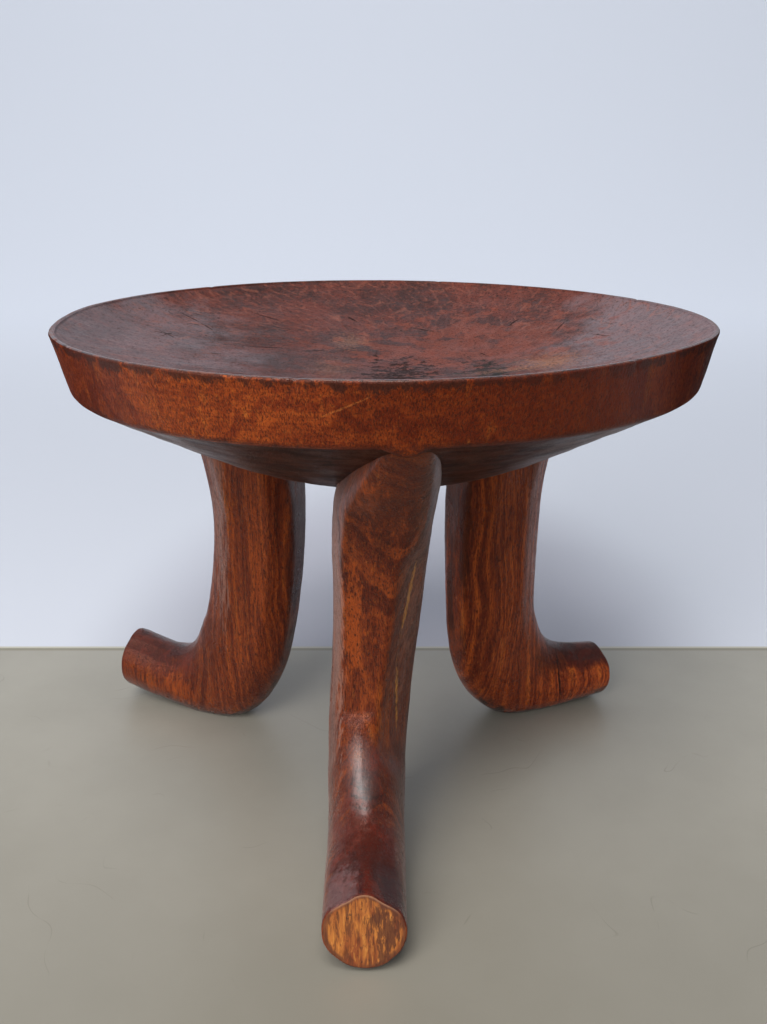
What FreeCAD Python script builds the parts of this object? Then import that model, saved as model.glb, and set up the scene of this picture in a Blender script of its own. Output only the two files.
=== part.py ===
import FreeCAD, Part
import os
import Sketcher
from math import asin, atan2, cos, degrees, hypot, pi, sin, sqrt, tan

doc = FreeCAD.newDocument("carved_stool")

# Driving sizes, in millimetres and degrees
sheet = doc.addObject("Spreadsheet::Sheet", "Sizes")
SIZES = (
    # Whole stool: height of the rim, and where the bowl's axis stands under the rim
    ("stool_height", 298.0),
    ("axis_shift_x", 2.4),
    ("axis_shift_y", 5.6),
    # Rim and band of the bowl
    ("rim_radius", 190.0),
    ("lip_width", 5.0),
    ("lip_inner_bevel", 1.4),
    ("lip_outer_bevel", 1.3),
    ("lip_outer_drop", 2.2),
    ("band_depth", 32.0),
    ("band_foot_inset", 9.0),
    ("band_foot_bevel", 2.5),
    # Hollow of the bowl: a wide floor rises by a share of the depth, and turns up into a steeper wall
    ("dish_depth", 34.0),
    ("dish_wall_width", 35.0),
    ("dish_floor_rise_share", 0.56),
    # Underside: a cone that runs into a dome on the same axis
    ("cone_width", 61.0),
    ("cone_depth", 65.5),
    # Outer and inner line of every leg: root below the rim, foot above the floor, the rest in shares between
    ("root_out_drop", 29.0),
    ("root_in_drop", 51.0),
    ("shoulder_out_rise_share", 0.7513),
    ("shoulder_in_rise_share", 0.8168),
    ("shank_out_rise_share", 0.4815),
    ("shank_in_rise_share", 0.5842),
    ("calf_out_rise_share", 0.2116),
    ("calf_in_rise_share", 0.2772),
    ("ankle_out_height", 80.0),
    ("ankle_in_height", 45.0),
    ("heel_out_height", 50.0),
    ("heel_in_height", -1.2),
    ("arch_out_height", 43.5),
    ("arch_in_height", -1.6),
    # Half widths of every leg, across its own line
    ("root_half_width", 14.0),
    ("shoulder_half_width", 25.3),
    ("shank_half_width", 23.2),
    ("calf_half_width", 22.8),
    ("ankle_half_width", 22.7),
    ("heel_half_width", 21.4),
    ("arch_half_width", 21.0),
    ("toe_half_width", 20.2),
    # How far along the sideways lean each station of a leg has come
    ("shoulder_lean_share", 0.45),
    ("shank_lean_share", 0.68),
    ("calf_lean_share", 0.82),
    ("ankle_lean_share", 0.92),
    ("arch_turn_share", 0.5),
    # How far the ridge along the top of a foot has risen at each station
    ("ankle_ridge_share", 0.15),
    ("heel_ridge_share", 0.4),
    ("arch_ridge_share", 0.9),
    ("toe_ridge_share", 1.0),
    # Ridged section: where its crown, flanks, sides and sole edges lie round it, how wide and how far out
    ("ridge_crown_spread_angle", 30.0),
    ("ridge_crown_share", 0.055),
    ("ridge_flank_angle", 48.0),
    ("ridge_flank_spread_angle", 34.0),
    ("ridge_flank_share", -0.035),
    ("ridge_side_angle", 95.0),
    ("ridge_side_spread_angle", 25.0),
    ("ridge_side_share", 0.012),
    ("ridge_sole_angle", 138.0),
    ("ridge_sole_spread_angle", 28.0),
    ("ridge_sole_share", -0.02),
    # Ring under the rim that the legs stand on; their outer and inner lines are measured out from it
    ("leg_ring_inset", 90.0),
    # Front leg: angle about the axis, sideways offsets, then outer and inner line
    ("front_angle", 269.5),
    ("front_root_aside", 11.0),
    ("front_heel_aside", -8.4),
    ("front_toe_aside", -7.8),
    ("front_root_out", 79.0),
    ("front_root_in", -8.0),
    ("front_shoulder_out", 46.0),
    ("front_shoulder_in", -20.0),
    ("front_shank_out", 30.0),
    ("front_shank_in", -30.0),
    ("front_calf_out", 23.5),
    ("front_calf_in", -36.5),
    ("front_ankle_out", 20.0),
    ("front_ankle_in", -36.0),
    ("front_heel_out", 29.0),
    ("front_heel_in", -4.0),
    ("front_arch_out", 58.0),
    ("front_arch_in", 49.0),
    ("front_toe_out", 95.0),
    ("front_toe_in", 101.0),
    ("front_toe_out_height", 42.6),
    ("front_toe_in_height", 2.4),
    # Rear left leg
    ("left_angle", 154.2),
    ("left_root_aside", -3.0),
    ("left_heel_aside", -1.4),
    ("left_toe_aside", 3.0),
    ("left_root_out", 78.0),
    ("left_root_in", -25.0),
    ("left_shoulder_out", 42.0),
    ("left_shoulder_in", -32.5),
    ("left_shank_out", 28.3),
    ("left_shank_in", -37.2),
    ("left_calf_out", 31.0),
    ("left_calf_in", -33.4),
    ("left_ankle_out", 39.5),
    ("left_ankle_in", -20.2),
    ("left_heel_out", 53.0),
    ("left_heel_in", 17.5),
    ("left_arch_out", 72.5),
    ("left_arch_in", 66.0),
    ("left_toe_out", 104.6),
    ("left_toe_in", 107.4),
    ("left_toe_out_height", 50.0),
    ("left_toe_in_height", 6.0),
    # Rear right leg
    ("right_angle", 29.8),
    ("right_root_aside", 14.0),
    ("right_heel_aside", 4.4),
    ("right_toe_aside", -9.0),
    ("right_root_out", 78.0),
    ("right_root_in", -29.5),
    ("right_shoulder_out", 41.0),
    ("right_shoulder_in", -38.5),
    ("right_shank_out", 27.3),
    ("right_shank_in", -43.5),
    ("right_calf_out", 24.7),
    ("right_calf_in", -43.7),
    ("right_ankle_out", 24.4),
    ("right_ankle_in", -37.2),
    ("right_heel_out", 40.0),
    ("right_heel_in", 4.0),
    ("right_arch_out", 55.0),
    ("right_arch_in", 47.0),
    ("right_toe_out", 77.0),
    ("right_toe_in", 76.0),
    ("right_toe_out_height", 42.0),
    ("right_toe_in_height", 2.4),
    # Block of floor that trims the worn soles flat
    ("floor_block_side", 600.0),
    ("floor_block_depth", 20.0),
)
for row, (alias, value) in enumerate(SIZES, start=1):
    sheet.set(f"A{row}", alias)
    sheet.set(f"B{row}", str(value))
    sheet.setAlias(f"B{row}", alias)
doc.recompute()


def size(alias):
    return float(sheet.get(alias))


# Seat: one hollowed bowl, drawn as half a section and revolved about its axis. Its round stretches are
# worked as rings of straight cuts that meet on guide arcs.
seat = doc.addObject("PartDesign::Body", "seat")
seat.Label = "seat"
seat.setExpression(
    "Placement",
    "placement(vector(Sizes.axis_shift_x; Sizes.axis_shift_y; Sizes.stool_height);"
    " rotation(vector(0; 0; 1); 0))",
)
section = seat.newObject("Sketcher::SketchObject", "seat_section")
front_plane = [p for p in seat.Origin.OriginFeatures if p.Role == "XZ_Plane"][0]
section.AttachmentSupport = [(front_plane, "")]
section.MapMode = "FlatFace"


def at(across, up):
    return FreeCAD.Vector(across, up, 0)


# Corners of the section; the constraints below tie them to the sheet
rim = size("rim_radius")
lip_in = rim - size("lip_width")
lip_low = -size("lip_inner_bevel")
reach = lip_in - size("dish_wall_width")
dish_bottom = -size("dish_depth")
floor_rise = size("dish_depth") * size("dish_floor_rise_share")
turn_up = dish_bottom + floor_rise
floor_curve = (reach**2 + floor_rise**2) / (2 * floor_rise)
band_foot = rim - size("band_foot_inset")
band_bottom = -size("band_depth")
band_slope = size("band_foot_inset") / (size("band_depth") - size("lip_outer_drop"))
foot_bevel = size("band_foot_bevel")
cone_in = band_foot - size("cone_width")
cone_bottom = -size("cone_depth")
cone_slope = (band_bottom - cone_bottom) / size("cone_width")
dome_curve = hypot(cone_in, cone_in / cone_slope)
dome_bottom = cone_bottom + cone_in / cone_slope - dome_curve


def guide(start, middle, end):
    """Arc that the carver works to; it takes no part in the solid itself."""
    return section.addGeometry(Part.Arc(start, middle, end), True)


def line(start, end):
    return section.addGeometry(Part.LineSegment(start, end), False)


def on_circle(centre_up, radius, across):
    return at(across, centre_up - sqrt(radius**2 - across**2))


wall_run = lip_in - reach
wall_rise = lip_low - turn_up
wall_bulge = tan((atan2(wall_rise, wall_run) - asin(reach / floor_curve)) / 2) / 2
wall_middle = at(
    (reach + lip_in) / 2 + wall_rise * wall_bulge,
    (turn_up + lip_low) / 2 - wall_run * wall_bulge,
)
floor_middle = on_circle(dish_bottom + floor_curve, floor_curve, reach / 2)
dome_middle = on_circle(dome_bottom + dome_curve, dome_curve, cone_in / 2)
floor_arc = guide(at(0, dish_bottom), floor_middle, at(reach, turn_up))
wall_arc = guide(at(reach, turn_up), wall_middle, at(lip_in, lip_low))
dome_arc = guide(at(0, dome_bottom), dome_middle, at(cone_in, cone_bottom))
corners = (
    at(lip_in, lip_low),
    at(lip_in + size("lip_inner_bevel"), 0),
    at(rim - size("lip_outer_bevel"), 0),
    at(rim, -size("lip_outer_drop")),
    at(band_foot + foot_bevel * band_slope, band_bottom + foot_bevel),
    at(band_foot - foot_bevel, band_bottom - foot_bevel * cone_slope),
    at(cone_in, cone_bottom),
)
inner_bevel, lip_line, outer_bevel, band_line, foot_line, cone_line = (
    line(near, far) for near, far in zip(corners, corners[1:]))
axis_line = line(at(0, dome_bottom), at(0, dish_bottom))
START, END, CENTRE = range(1, 4)


def constrain(kind, *parts, to=None):
    """Adds a constraint, held to an expression on the sheet where one is given."""
    held_at = (section.evalExpression(to),) if to else ()
    index = section.addConstraint(Sketcher.Constraint(kind, *parts, *held_at))
    if to:
        section.setExpression(f"Constraints[{index}]", to)


for first, first_end, second, second_end in (
    (inner_bevel, START, wall_arc, END),
    (lip_line, START, inner_bevel, END),
    (outer_bevel, START, lip_line, END),
    (band_line, START, outer_bevel, END),
    (foot_line, START, band_line, END),
    (cone_line, START, foot_line, END),
    (axis_line, START, dome_arc, START),
    (axis_line, END, floor_arc, START),
):
    constrain("Coincident", first, first_end, second, second_end)
constrain("Tangent", floor_arc, END, wall_arc, START)
constrain("Tangent", cone_line, END, dome_arc, END)
constrain("PointOnObject", floor_arc, CENTRE, -2)
constrain("PointOnObject", dome_arc, CENTRE, -2)
constrain("PointOnObject", floor_arc, START, -2)
constrain("PointOnObject", dome_arc, START, -2)
constrain("PointOnObject", lip_line, START, -1)
constrain("PointOnObject", lip_line, END, -1)
LIP_IN = "(Sizes.rim_radius - Sizes.lip_width)"
FLOOR_REACH = f"({LIP_IN} - Sizes.dish_wall_width)"
BAND_FOOT = "(Sizes.rim_radius - Sizes.band_foot_inset)"
CONE_REACH = f"({BAND_FOOT} - Sizes.cone_width)"
BEVEL = "Sizes.band_foot_bevel"
BAND_SLOPE = "Sizes.band_foot_inset / (Sizes.band_depth - Sizes.lip_outer_drop)"
CONE_SLOPE = "(Sizes.cone_depth - Sizes.band_depth) / Sizes.cone_width"
for kind, line_index, end, word in (
    ("DistanceY", floor_arc, START, "-Sizes.dish_depth"),
    ("DistanceX", floor_arc, END, FLOOR_REACH),
    ("DistanceY", floor_arc, END, "-Sizes.dish_depth * (1 - Sizes.dish_floor_rise_share)"),
    ("DistanceX", inner_bevel, START, LIP_IN),
    ("DistanceY", inner_bevel, START, "-Sizes.lip_inner_bevel"),
    ("DistanceX", inner_bevel, END, f"{LIP_IN} + Sizes.lip_inner_bevel"),
    ("DistanceX", outer_bevel, START, "Sizes.rim_radius - Sizes.lip_outer_bevel"),
    ("DistanceX", outer_bevel, END, "Sizes.rim_radius"),
    ("DistanceY", outer_bevel, END, "-Sizes.lip_outer_drop"),
    ("DistanceX", band_line, END, f"{BAND_FOOT} + {BEVEL} * {BAND_SLOPE}"),
    ("DistanceY", band_line, END, f"-Sizes.band_depth + {BEVEL}"),
    ("DistanceX", foot_line, END, f"{BAND_FOOT} - {BEVEL}"),
    ("DistanceY", foot_line, END, f"-Sizes.band_depth - {BEVEL} * {CONE_SLOPE}"),
    ("DistanceX", cone_line, END, CONE_REACH),
    ("DistanceY", cone_line, END, "-Sizes.cone_depth"),
):
    constrain(kind, -1, START, line_index, end, to=word)
doc.recompute()


def cut_rings(arc, *reaches):
    """Straight cuts along a round stretch, which meet on its guide arc at the given reaches."""
    curve = section.Geometry[arc]
    points = [curve.StartPoint]
    for word in reaches:
        across = section.evalExpression(word)
        drop = sqrt(curve.Radius**2 - (across - curve.Center.x)**2)
        points.append(at(across, curve.Center.y - drop))
    points.append(curve.EndPoint)
    cuts = [line(near, far) for near, far in zip(points, points[1:])]
    constrain("Coincident", cuts[0], START, arc, START)
    constrain("Coincident", cuts[-1], END, arc, END)
    for near, far, word in zip(cuts, cuts[1:], reaches):
        constrain("Coincident", far, START, near, END)
        constrain("PointOnObject", near, END, arc)
        constrain("DistanceX", -1, START, near, END, to=word)


cut_rings(floor_arc, f"{FLOOR_REACH} / 3", f"{FLOOR_REACH} * 2 / 3")
cut_rings(wall_arc, f"({FLOOR_REACH} + {LIP_IN}) / 2")
cut_rings(dome_arc, f"{CONE_REACH} / 3", f"{CONE_REACH} * 2 / 3")
doc.recompute()

bowl = seat.newObject("PartDesign::Revolution", "seat_bowl")
bowl.Profile = section
bowl.ReferenceAxis = (section, ["V_Axis"])
bowl.Angle = 360
doc.recompute()

# Floor block: trims the soles to the flat they are worn to
floor_block = doc.addObject("Part::Box", "floor_block")
for side in ("Length", "Width"):
    floor_block.setExpression(side, "Sizes.floor_block_side")
floor_block.setExpression("Height", "Sizes.floor_block_depth")
floor_block.setExpression(
    "Placement",
    "placement(vector(-Sizes.floor_block_side / 2; -Sizes.floor_block_side / 2; -Sizes.floor_block_depth);"
    " rotation(vector(0; 0; 1); 0))",
)

# Legs: long knife flats that run through eight sections, from the root inside the bowl to the cut toe
STATIONS = ("root", "shoulder", "shank", "calf", "ankle", "heel", "arch", "toe")
FLATS_ROUND = 20


def lean(leg, station):
    """Sideways offset of a section: it leans from root to heel, then turns from heel to toe."""
    root, heel, toe = (size(f"{leg}_{end}_aside") for end in ("root", "heel", "toe"))
    if station == "arch":
        return heel + size("arch_turn_share") * (toe - heel)
    if station in ("shoulder", "shank", "calf", "ankle"):
        return root + size(f"{station}_lean_share") * (heel - root)
    return {"root": root, "heel": heel, "toe": toe}[station]


def height(leg, station, side):
    """Height of the outer or inner line: the root follows the rim, and the foot stays by the floor."""
    low = size(f"ankle_{side}_height")
    high = size("stool_height") - size(f"root_{side}_drop")
    if station == "root":
        return high
    if station in ("shoulder", "shank", "calf"):
        return low + size(f"{station}_{side}_rise_share") * (high - low)
    return size(f"{leg}_toe_{side}_height" if station == "toe" else f"{station}_{side}_height")


def ridge(station, turn):
    """Share by which a carved section stands out from a plain oval at this turn round it."""
    if station not in ("ankle", "heel", "arch", "toe"):
        return 1.0
    away = degrees(min(turn, 2 * pi - turn))
    swell = size("ridge_crown_share") * max(0.0, 1 - away / size("ridge_crown_spread_angle"))
    for zone in ("flank", "side", "sole"):
        off = abs(away - size(f"ridge_{zone}_angle")) / size(f"ridge_{zone}_spread_angle")
        swell += size(f"ridge_{zone}_share") * max(0.0, 1 - off)
    return 1 + size(f"{station}_ridge_share") * swell


def section_points(leg, station):
    ring = size("rim_radius") - size("leg_ring_inset")
    outer = FreeCAD.Vector(ring + size(f"{leg}_{station}_out"), 0, height(leg, station, "out"))
    inner = FreeCAD.Vector(ring + size(f"{leg}_{station}_in"), 0, height(leg, station, "in"))
    middle = (outer + inner) * 0.5 + FreeCAD.Vector(0, lean(leg, station), 0)
    outward = (outer - inner) * 0.5
    across = FreeCAD.Vector(0, size(f"{station}_half_width"), 0)
    points = []
    for step in range(FLATS_ROUND):
        turn = 2 * pi * step / FLATS_ROUND
        points.append(middle + (outward * cos(turn) + across * sin(turn)) * ridge(station, turn))
    return middle, points


def leg_blank(leg):
    """Closed solid of one leg in its own frame: X outward from the stool's axis, Z up."""
    middles, rings = zip(*(section_points(leg, station) for station in STATIONS))
    along = [0.0]
    for near, far in zip(middles, middles[1:]):
        along.append(along[-1] + (far - near).Length)
    edges = []
    for points in zip(*rings):
        edge = Part.BSplineCurve()
        edge.interpolate(Points=list(points), Parameters=along)
        edges.append(edge.toShape())
    faces = [Part.makeRuledSurface(near, far) for near, far in zip(edges, edges[1:] + edges[:1])]
    for ring in (rings[0], rings[-1]):
        faces.append(Part.Face(Part.makePolygon(ring + ring[:1])))
    shell = Part.Shell(Part.makeCompound(faces).Faces)
    shell.sewShape()
    solid = Part.Solid(shell)
    if solid.Volume < 0:
        solid.reverse()
    return solid


def carve_leg(leg, node):
    """A leg from its blank, trimmed by the floor and by the bowl it grows out of."""
    blank = doc.addObject("Part::Feature", f"{node}_blank")
    blank.Shape = leg_blank(leg)
    blank.Placement = FreeCAD.Placement(
        FreeCAD.Vector(size("axis_shift_x"), size("axis_shift_y"), 0),
        FreeCAD.Rotation(FreeCAD.Vector(0, 0, 1), size(f"{leg}_angle")))
    trimmed = doc.addObject("Part::Cut", f"{node}_trimmed")
    trimmed.Base = blank
    trimmed.Tool = floor_block
    finished = doc.addObject("Part::Cut", node)
    finished.Label = node
    finished.Base = trimmed
    finished.Tool = seat
    return finished


pieces = [seat, carve_leg("front", "leg_front")]
pieces.append(carve_leg("left", "leg_rear_left"))
pieces.append(carve_leg("right", "leg_rear_right"))
doc.recompute()

for item in doc.Objects:
    if "Invalid" in item.State or "Error" in item.State:
        raise RuntimeError(f"{item.Label} did not build: {item.State}")
os.makedirs("parts", exist_ok=True)
for piece in pieces:
    if piece.Shape.isNull() or not piece.Shape.isValid():
        raise RuntimeError(f"{piece.Label} is not a sound shape")
    piece.Shape.exportStep(f"parts/{piece.Label}.step")
    box = piece.Shape.optimalBoundingBox(True, False)
    print(piece.Label, round(piece.Shape.Volume), len(piece.Shape.Solids), len(piece.Shape.Faces))
    print("  x", round(box.XMin, 1), round(box.XMax, 1), "y", round(box.YMin, 1), round(box.YMax, 1),
          "z", round(box.ZMin, 2), round(box.ZMax, 2), flush=True)
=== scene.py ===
import random
from math import cos, pi, radians, sin, sqrt

import bpy
import numpy as np
from mathutils import Matrix, Vector, noise


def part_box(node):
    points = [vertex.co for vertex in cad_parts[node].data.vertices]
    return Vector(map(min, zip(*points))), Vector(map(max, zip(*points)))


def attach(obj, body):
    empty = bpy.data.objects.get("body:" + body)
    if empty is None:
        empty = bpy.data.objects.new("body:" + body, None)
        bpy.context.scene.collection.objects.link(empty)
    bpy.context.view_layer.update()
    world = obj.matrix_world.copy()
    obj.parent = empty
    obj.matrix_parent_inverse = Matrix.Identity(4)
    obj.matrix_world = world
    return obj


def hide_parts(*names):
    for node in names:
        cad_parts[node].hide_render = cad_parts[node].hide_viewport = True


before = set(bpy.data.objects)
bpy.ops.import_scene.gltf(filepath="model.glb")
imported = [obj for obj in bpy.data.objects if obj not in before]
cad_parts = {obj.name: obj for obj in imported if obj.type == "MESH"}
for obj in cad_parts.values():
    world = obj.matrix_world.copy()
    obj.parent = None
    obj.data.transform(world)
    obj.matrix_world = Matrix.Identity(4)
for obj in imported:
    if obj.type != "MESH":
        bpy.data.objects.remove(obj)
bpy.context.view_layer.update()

# Seat: the round bowl at the top of the block, carved from solid reddish hardwood whose grain stands upright.
# Its hollow was cut with an adze in short strokes towards the middle, its band was shaved smooth, and all of
# it was waxed.
MM = 0.001
BOWL_AXIS = Vector((2.4, 5.6, 0)) * MM
RIM_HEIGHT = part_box("seat")[1].z
RIM_RADIUS = 190 * MM
FLOOR_REACH, FLOOR_CURVE, DISH_DEPTH = 150 * MM, 600 * MM, 34 * MM
LIP_INNER, LIP_INNER_DROP, LIP_INNER_SLOPE = 186.2 * MM, 0.9 * MM, 0.53
LIP_TOP = 188.5 * MM
BAND_TOP_DROP = 1.5 * MM
BAND_DEPTH, BAND_FOOT = 32 * MM, 181 * MM
BAND_FOOT_ROUND, BAND_FOOT_FLARE = 2.2 * MM, 0.3
CONE_REACH, CONE_DEPTH = 120 * MM, 65.5 * MM
CONE_SLOPE = (CONE_DEPTH - BAND_DEPTH) / (BAND_FOOT - CONE_REACH)
DISH_RINGS, BAND_RINGS, UNDER_RINGS = 140, 25, 83
SEGMENTS = 720


def smooth_step(low, high, value):
    """0 below low, 1 above high, and an easy curve between."""
    share = np.clip((value - low) / (high - low), 0, 1)
    return share * share * (3 - 2 * share)


def past_turn(angle, turn):
    """How far each angle lies past the turn, the short way round the bowl."""
    return np.remainder(angle - turn + pi, 2 * pi) - pi


def wander(points, reach, seed):
    """Slow random rise and fall, from -1 to 1, over a list of points."""
    shift = Vector((seed * 7.3, seed * 1.7, -seed * 4.1))
    return np.array([noise.noise(Vector(point) / reach + shift) for point in points])


def arc_drop(reach, curve):
    """How far an arc of the given radius has risen at some reach from its lowest point."""
    return curve - np.sqrt(curve**2 - reach**2)


def dish_line():
    """From the middle of the hollow out to the lip: a wide floor, then a steeper wall."""
    radii = np.linspace(0, LIP_INNER, DISH_RINGS)
    floor = -DISH_DEPTH + arc_drop(np.minimum(radii, FLOOR_REACH), FLOOR_CURVE)
    run = LIP_INNER - FLOOR_REACH
    share = np.clip((radii - FLOOR_REACH) / run, 0, 1)
    start, start_slope = floor[-1], FLOOR_REACH / FLOOR_CURVE
    wall = (
        start * (2 * share**3 - 3 * share**2 + 1)
        + start_slope * run * (share**3 - 2 * share**2 + share)
        - LIP_INNER_DROP * (3 * share**2 - 2 * share**3)
        + LIP_INNER_SLOPE * run * (share**3 - share**2)
    )
    return list(zip(radii, np.where(radii > FLOOR_REACH, wall, floor)))


def lip_line():
    """Over the thin lip, a quarter round on each side of its crest."""
    points = []
    for turn in np.linspace(0.25, 1, 5) * pi / 2:
        points.append((LIP_TOP - (LIP_TOP - LIP_INNER) * cos(turn), -LIP_INNER_DROP * (1 - sin(turn))))
    for turn in np.linspace(0.2, 1, 6) * pi / 2:
        points.append((LIP_TOP + (RIM_RADIUS - LIP_TOP) * sin(turn), -BAND_TOP_DROP * (1 - cos(turn))))
    return points


def band_line():
    """Down the outside of the band and round its foot."""
    foot_reach, foot_drop = BAND_FOOT + BAND_FOOT_ROUND * BAND_FOOT_FLARE, -BAND_DEPTH + BAND_FOOT_ROUND
    points = []
    for share in np.linspace(0, 1, BAND_RINGS + 1)[1:]:
        points.append((RIM_RADIUS + (foot_reach - RIM_RADIUS) * share,
                       -BAND_TOP_DROP + (foot_drop + BAND_TOP_DROP) * share))
    under_start = (BAND_FOOT - BAND_FOOT_ROUND, -BAND_DEPTH - BAND_FOOT_ROUND * CONE_SLOPE)
    for share in (0.3, 0.6, 1):
        ease = (1 - share) ** 2, 2 * share * (1 - share), share**2
        corner = zip((foot_reach, foot_drop), (BAND_FOOT, -BAND_DEPTH), under_start)
        points.append(tuple(ease[0] * a + ease[1] * b + ease[2] * c for a, b, c in corner))
    return points


def under_line():
    """In under the bowl: a cone that runs into a dome."""
    radii = np.linspace(BAND_FOOT - BAND_FOOT_ROUND, 0, UNDER_RINGS + 1)[1:]
    curve = sqrt(CONE_REACH**2 + (CONE_REACH / CONE_SLOPE) ** 2)
    bottom = -CONE_DEPTH + CONE_REACH / CONE_SLOPE - curve
    cone = -BAND_DEPTH - (BAND_FOOT - radii) * CONE_SLOPE
    dome = bottom + arc_drop(np.minimum(radii, CONE_REACH), curve)
    return list(zip(radii, np.where(radii > CONE_REACH, cone, dome)))


def adze_strokes(seed, rows, spacing, length, width, cut, lean):
    """Strokes side by side in rings round the axis: place on the radius, turn, half sizes, tilt and depth."""
    dice = random.Random(seed)
    strokes = []
    for row, at in enumerate(rows):
        count = int(2 * pi * at / spacing)
        for step in range(count):
            turn = (step + 0.5 * (row % 2) + dice.uniform(-0.3, 0.3)) * 2 * pi / count - pi
            tilt = lean + 0.25 * sin(3 * turn + row) + dice.gauss(0, 0.10)
            strokes.append((at + dice.uniform(-0.2, 0.2) * length, turn, length * dice.uniform(0.85, 1.3),
                            width * dice.uniform(0.8, 1.3), tilt, cut * dice.uniform(0.6, 1)))
    return strokes


def stroke_marks(radius, angle, strokes, ridge_reach):
    """Depth of the deepest stroke at each place, and how near that is to the ridge where two strokes meet."""
    deepest, second = np.zeros_like(radius), np.zeros_like(radius)
    for place, turn, length, width, lean, cut in strokes:
        across = past_turn(angle, turn) * radius
        along = radius - place
        near = (np.abs(across) < length + width) & (np.abs(along) < length + width)
        run = along[near] * cos(lean) + across[near] * sin(lean)
        off = across[near] * cos(lean) - along[near] * sin(lean)
        lens = cut * (1 - (run / length) ** 2 - (off / width) ** 2)
        second[near] = np.maximum(second[near], np.minimum(lens, deepest[near]))
        deepest[near] = np.maximum(deepest[near], lens)
    return deepest, (1 - np.clip((deepest - second) / ridge_reach, 0, 1)) ** 1.5


HOLLOW, LIP, BAND, UNDERSIDE = range(4)
dish, lip, band, under = dish_line(), lip_line(), band_line(), under_line()
outline = np.array(dish + lip + band + under)
ring_surface = np.repeat((HOLLOW, LIP, BAND, UNDERSIDE), (len(dish), len(lip), len(band), len(under)))
FIRST_ON_CREST, LAST_ON_CREST = len(dish) + 4, len(dish) + 7
turns = np.arange(SEGMENTS) * 2 * pi / SEGMENTS
radius, angle = np.meshgrid(outline[:, 0], past_turn(turns, 0), indexing="ij")
drop = np.repeat(outline[:, 1:], SEGMENTS, axis=1)
surface = np.repeat(ring_surface[:, None], SEGMENTS, axis=1)
on_rim = smooth_step(183 * MM, 189 * MM, radius)

# Bowl out of true: the rim is flatter at the back right and fuller at the back left, its crest is drawn in at
# the front right, where the band stands steeper, and the band is deepest on the left. Turns are in degrees,
# shifts in mm.
RIM_TURNS = (-180, -172, -160, -30, -7, 6, 13, 21, 30, 55, 70, 90, 108, 120, 130, 152, 168, 175, 180)
RIM_SHIFTS = (-1.0, -1.2, 0, 0, 0, -1.2, -2.0, -3.2, -4.2, -4.2, -3.6, -1.2, 2.0, 3.6, 3.0, 2.4, 1.2, 0, -1.0)
CREST_TURNS = (-180, -84, -72, -64, -56, -48, -38, -31, -26, -20, -15, -8, 180)
CREST_SHIFTS = (0, 0, -1.4, -3.0, -4.2, -4.9, -4.7, -2.9, -1.0, 0.2, 0.5, 0, 0)
LOW_SIDE, LOW_SIDE_SPREAD, LOW_SIDE_DIP = radians(42), 0.6, 0.55 * MM
BAND_DEEPER_LEFT, BAND_SHALLOWER = 2.9 * MM, 0.5 * MM
BAND_FOOT_OUT_RIGHT = 2.2 * MM
turned = np.degrees(angle)
radius = radius + np.interp(turned, RIM_TURNS, RIM_SHIFTS) * MM * smooth_step(90 * MM, 185 * MM, radius)
down_band = np.clip((-drop - BAND_TOP_DROP) / (BAND_DEPTH - BAND_TOP_DROP), 0, 1) * (surface >= BAND)
low_side = LOW_SIDE_DIP * np.exp(-((past_turn(angle, LOW_SIDE) / LOW_SIDE_SPREAD) ** 2))
low_side = low_side * smooth_step(120 * MM, 185 * MM, radius) * (surface != UNDERSIDE)
drop = drop - low_side * np.where(surface == BAND, 1 - down_band, 1)
deeper = BAND_DEEPER_LEFT * np.clip(-np.cos(angle), 0, 1) - BAND_SHALLOWER
drop = drop - deeper * np.where(surface == UNDERSIDE, smooth_step(60 * MM, BAND_FOOT, radius), down_band)
drawn_in = np.interp(turned, CREST_TURNS, CREST_SHIFTS) * MM * np.where(surface >= BAND, 1 - down_band, 1)
radius = radius + drawn_in * smooth_step(140 * MM, 186 * MM, radius) * (surface != UNDERSIDE)
foot_out = BAND_FOOT_OUT_RIGHT * np.clip(np.cos(angle), 0, 1) ** 2
near_foot = smooth_step(110 * MM, BAND_FOOT, radius)
radius = radius + foot_out * np.where(surface == UNDERSIDE, near_foot, down_band)
points = np.stack([radius * np.cos(angle), radius * np.sin(angle), drop], axis=-1).reshape(-1, 3)
slow = wander(points, reach=55 * MM, seed=3).reshape(radius.shape)
quick = wander(points, reach=14 * MM, seed=5).reshape(radius.shape)

# Tool marks: short strokes on the wall of the hollow, faint ones on its floor, and long cuts round underneath
WALL_ROWS = [at * MM for at in (98, 122, 146, 170, 190)]
FLOOR_ROWS = [at * MM for at in (14, 36, 58, 80)]
UNDER_ROWS = [at * MM for at in range(30, 190, 7)]
RIDGE_IN_DISH, RIDGE_BENEATH = 0.11 * MM, 0.26 * MM
wall_strokes = adze_strokes(
    11, WALL_ROWS, spacing=9.5 * MM, length=22 * MM, width=6.6 * MM, cut=0.85 * MM, lean=0.42)
floor_strokes = adze_strokes(
    12, FLOOR_ROWS, spacing=13 * MM, length=18 * MM, width=8.5 * MM, cut=0.22 * MM, lean=0.8)
under_strokes = adze_strokes(
    13, UNDER_ROWS, spacing=44 * MM, length=5.2 * MM, width=30 * MM, cut=0.42 * MM, lean=0.06)
cut = np.zeros_like(radius)
ridged = np.zeros_like(radius)
inside = surface == HOLLOW
depths, ridges = stroke_marks(radius[inside], angle[inside], wall_strokes + floor_strokes, RIDGE_IN_DISH)
cut[inside] = depths + (0.12 * quick + 0.5 * slow)[inside] * MM
cut[inside] *= 1 - smooth_step(180 * MM, 185.5 * MM, radius[inside])
worn_ridges = smooth_step(80 * MM, 125 * MM, radius) * np.clip(0.75 + 0.7 * slow, 0, 1)
ridged[inside] = ridges * worn_ridges[inside]
beneath = surface == UNDERSIDE
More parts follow.
